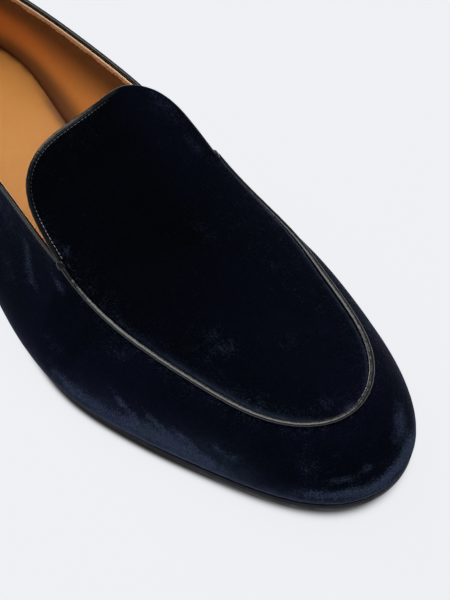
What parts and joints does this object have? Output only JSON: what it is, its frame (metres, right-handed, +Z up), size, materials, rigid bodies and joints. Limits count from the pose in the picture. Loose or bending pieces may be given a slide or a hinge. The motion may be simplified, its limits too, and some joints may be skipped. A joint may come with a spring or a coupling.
{
  "type": "slipper loafer",
  "caption": "Low velvet slipper loafer for the right foot, with a piped apron seam, a plain rounded tongue and a thin sole on a low heel.",
  "frame": {"origin": "middle of the shoe's box, on the floor", "axes": "+Z up, the toe towards -Y, the heel towards +Y, +X to the inner side of the foot"},
  "size_m": [0.1119, 0.2992, 0.0925],
  "materials": {
    "velvet": "short brushed nap",
    "trim_leather": "polished",
    "tan_leather": "smooth matte",
    "sole_leather": "waxed edge",
    "heel_leather": "waxed edge",
    "lift_rubber": "matte"
  },
  "bodies": {
    "root": {"upper": "velvet", "apron_piping": "trim_leather", "tongue_binding": "trim_leather", "collar_binding": "trim_leather", "tack_outer": "trim_leather", "tack_inner": "trim_leather", "insole": "tan_leather", "outsole": "sole_leather", "heel": "heel_leather", "heel_lift": "lift_rubber"}
  },
  "joints": []
}
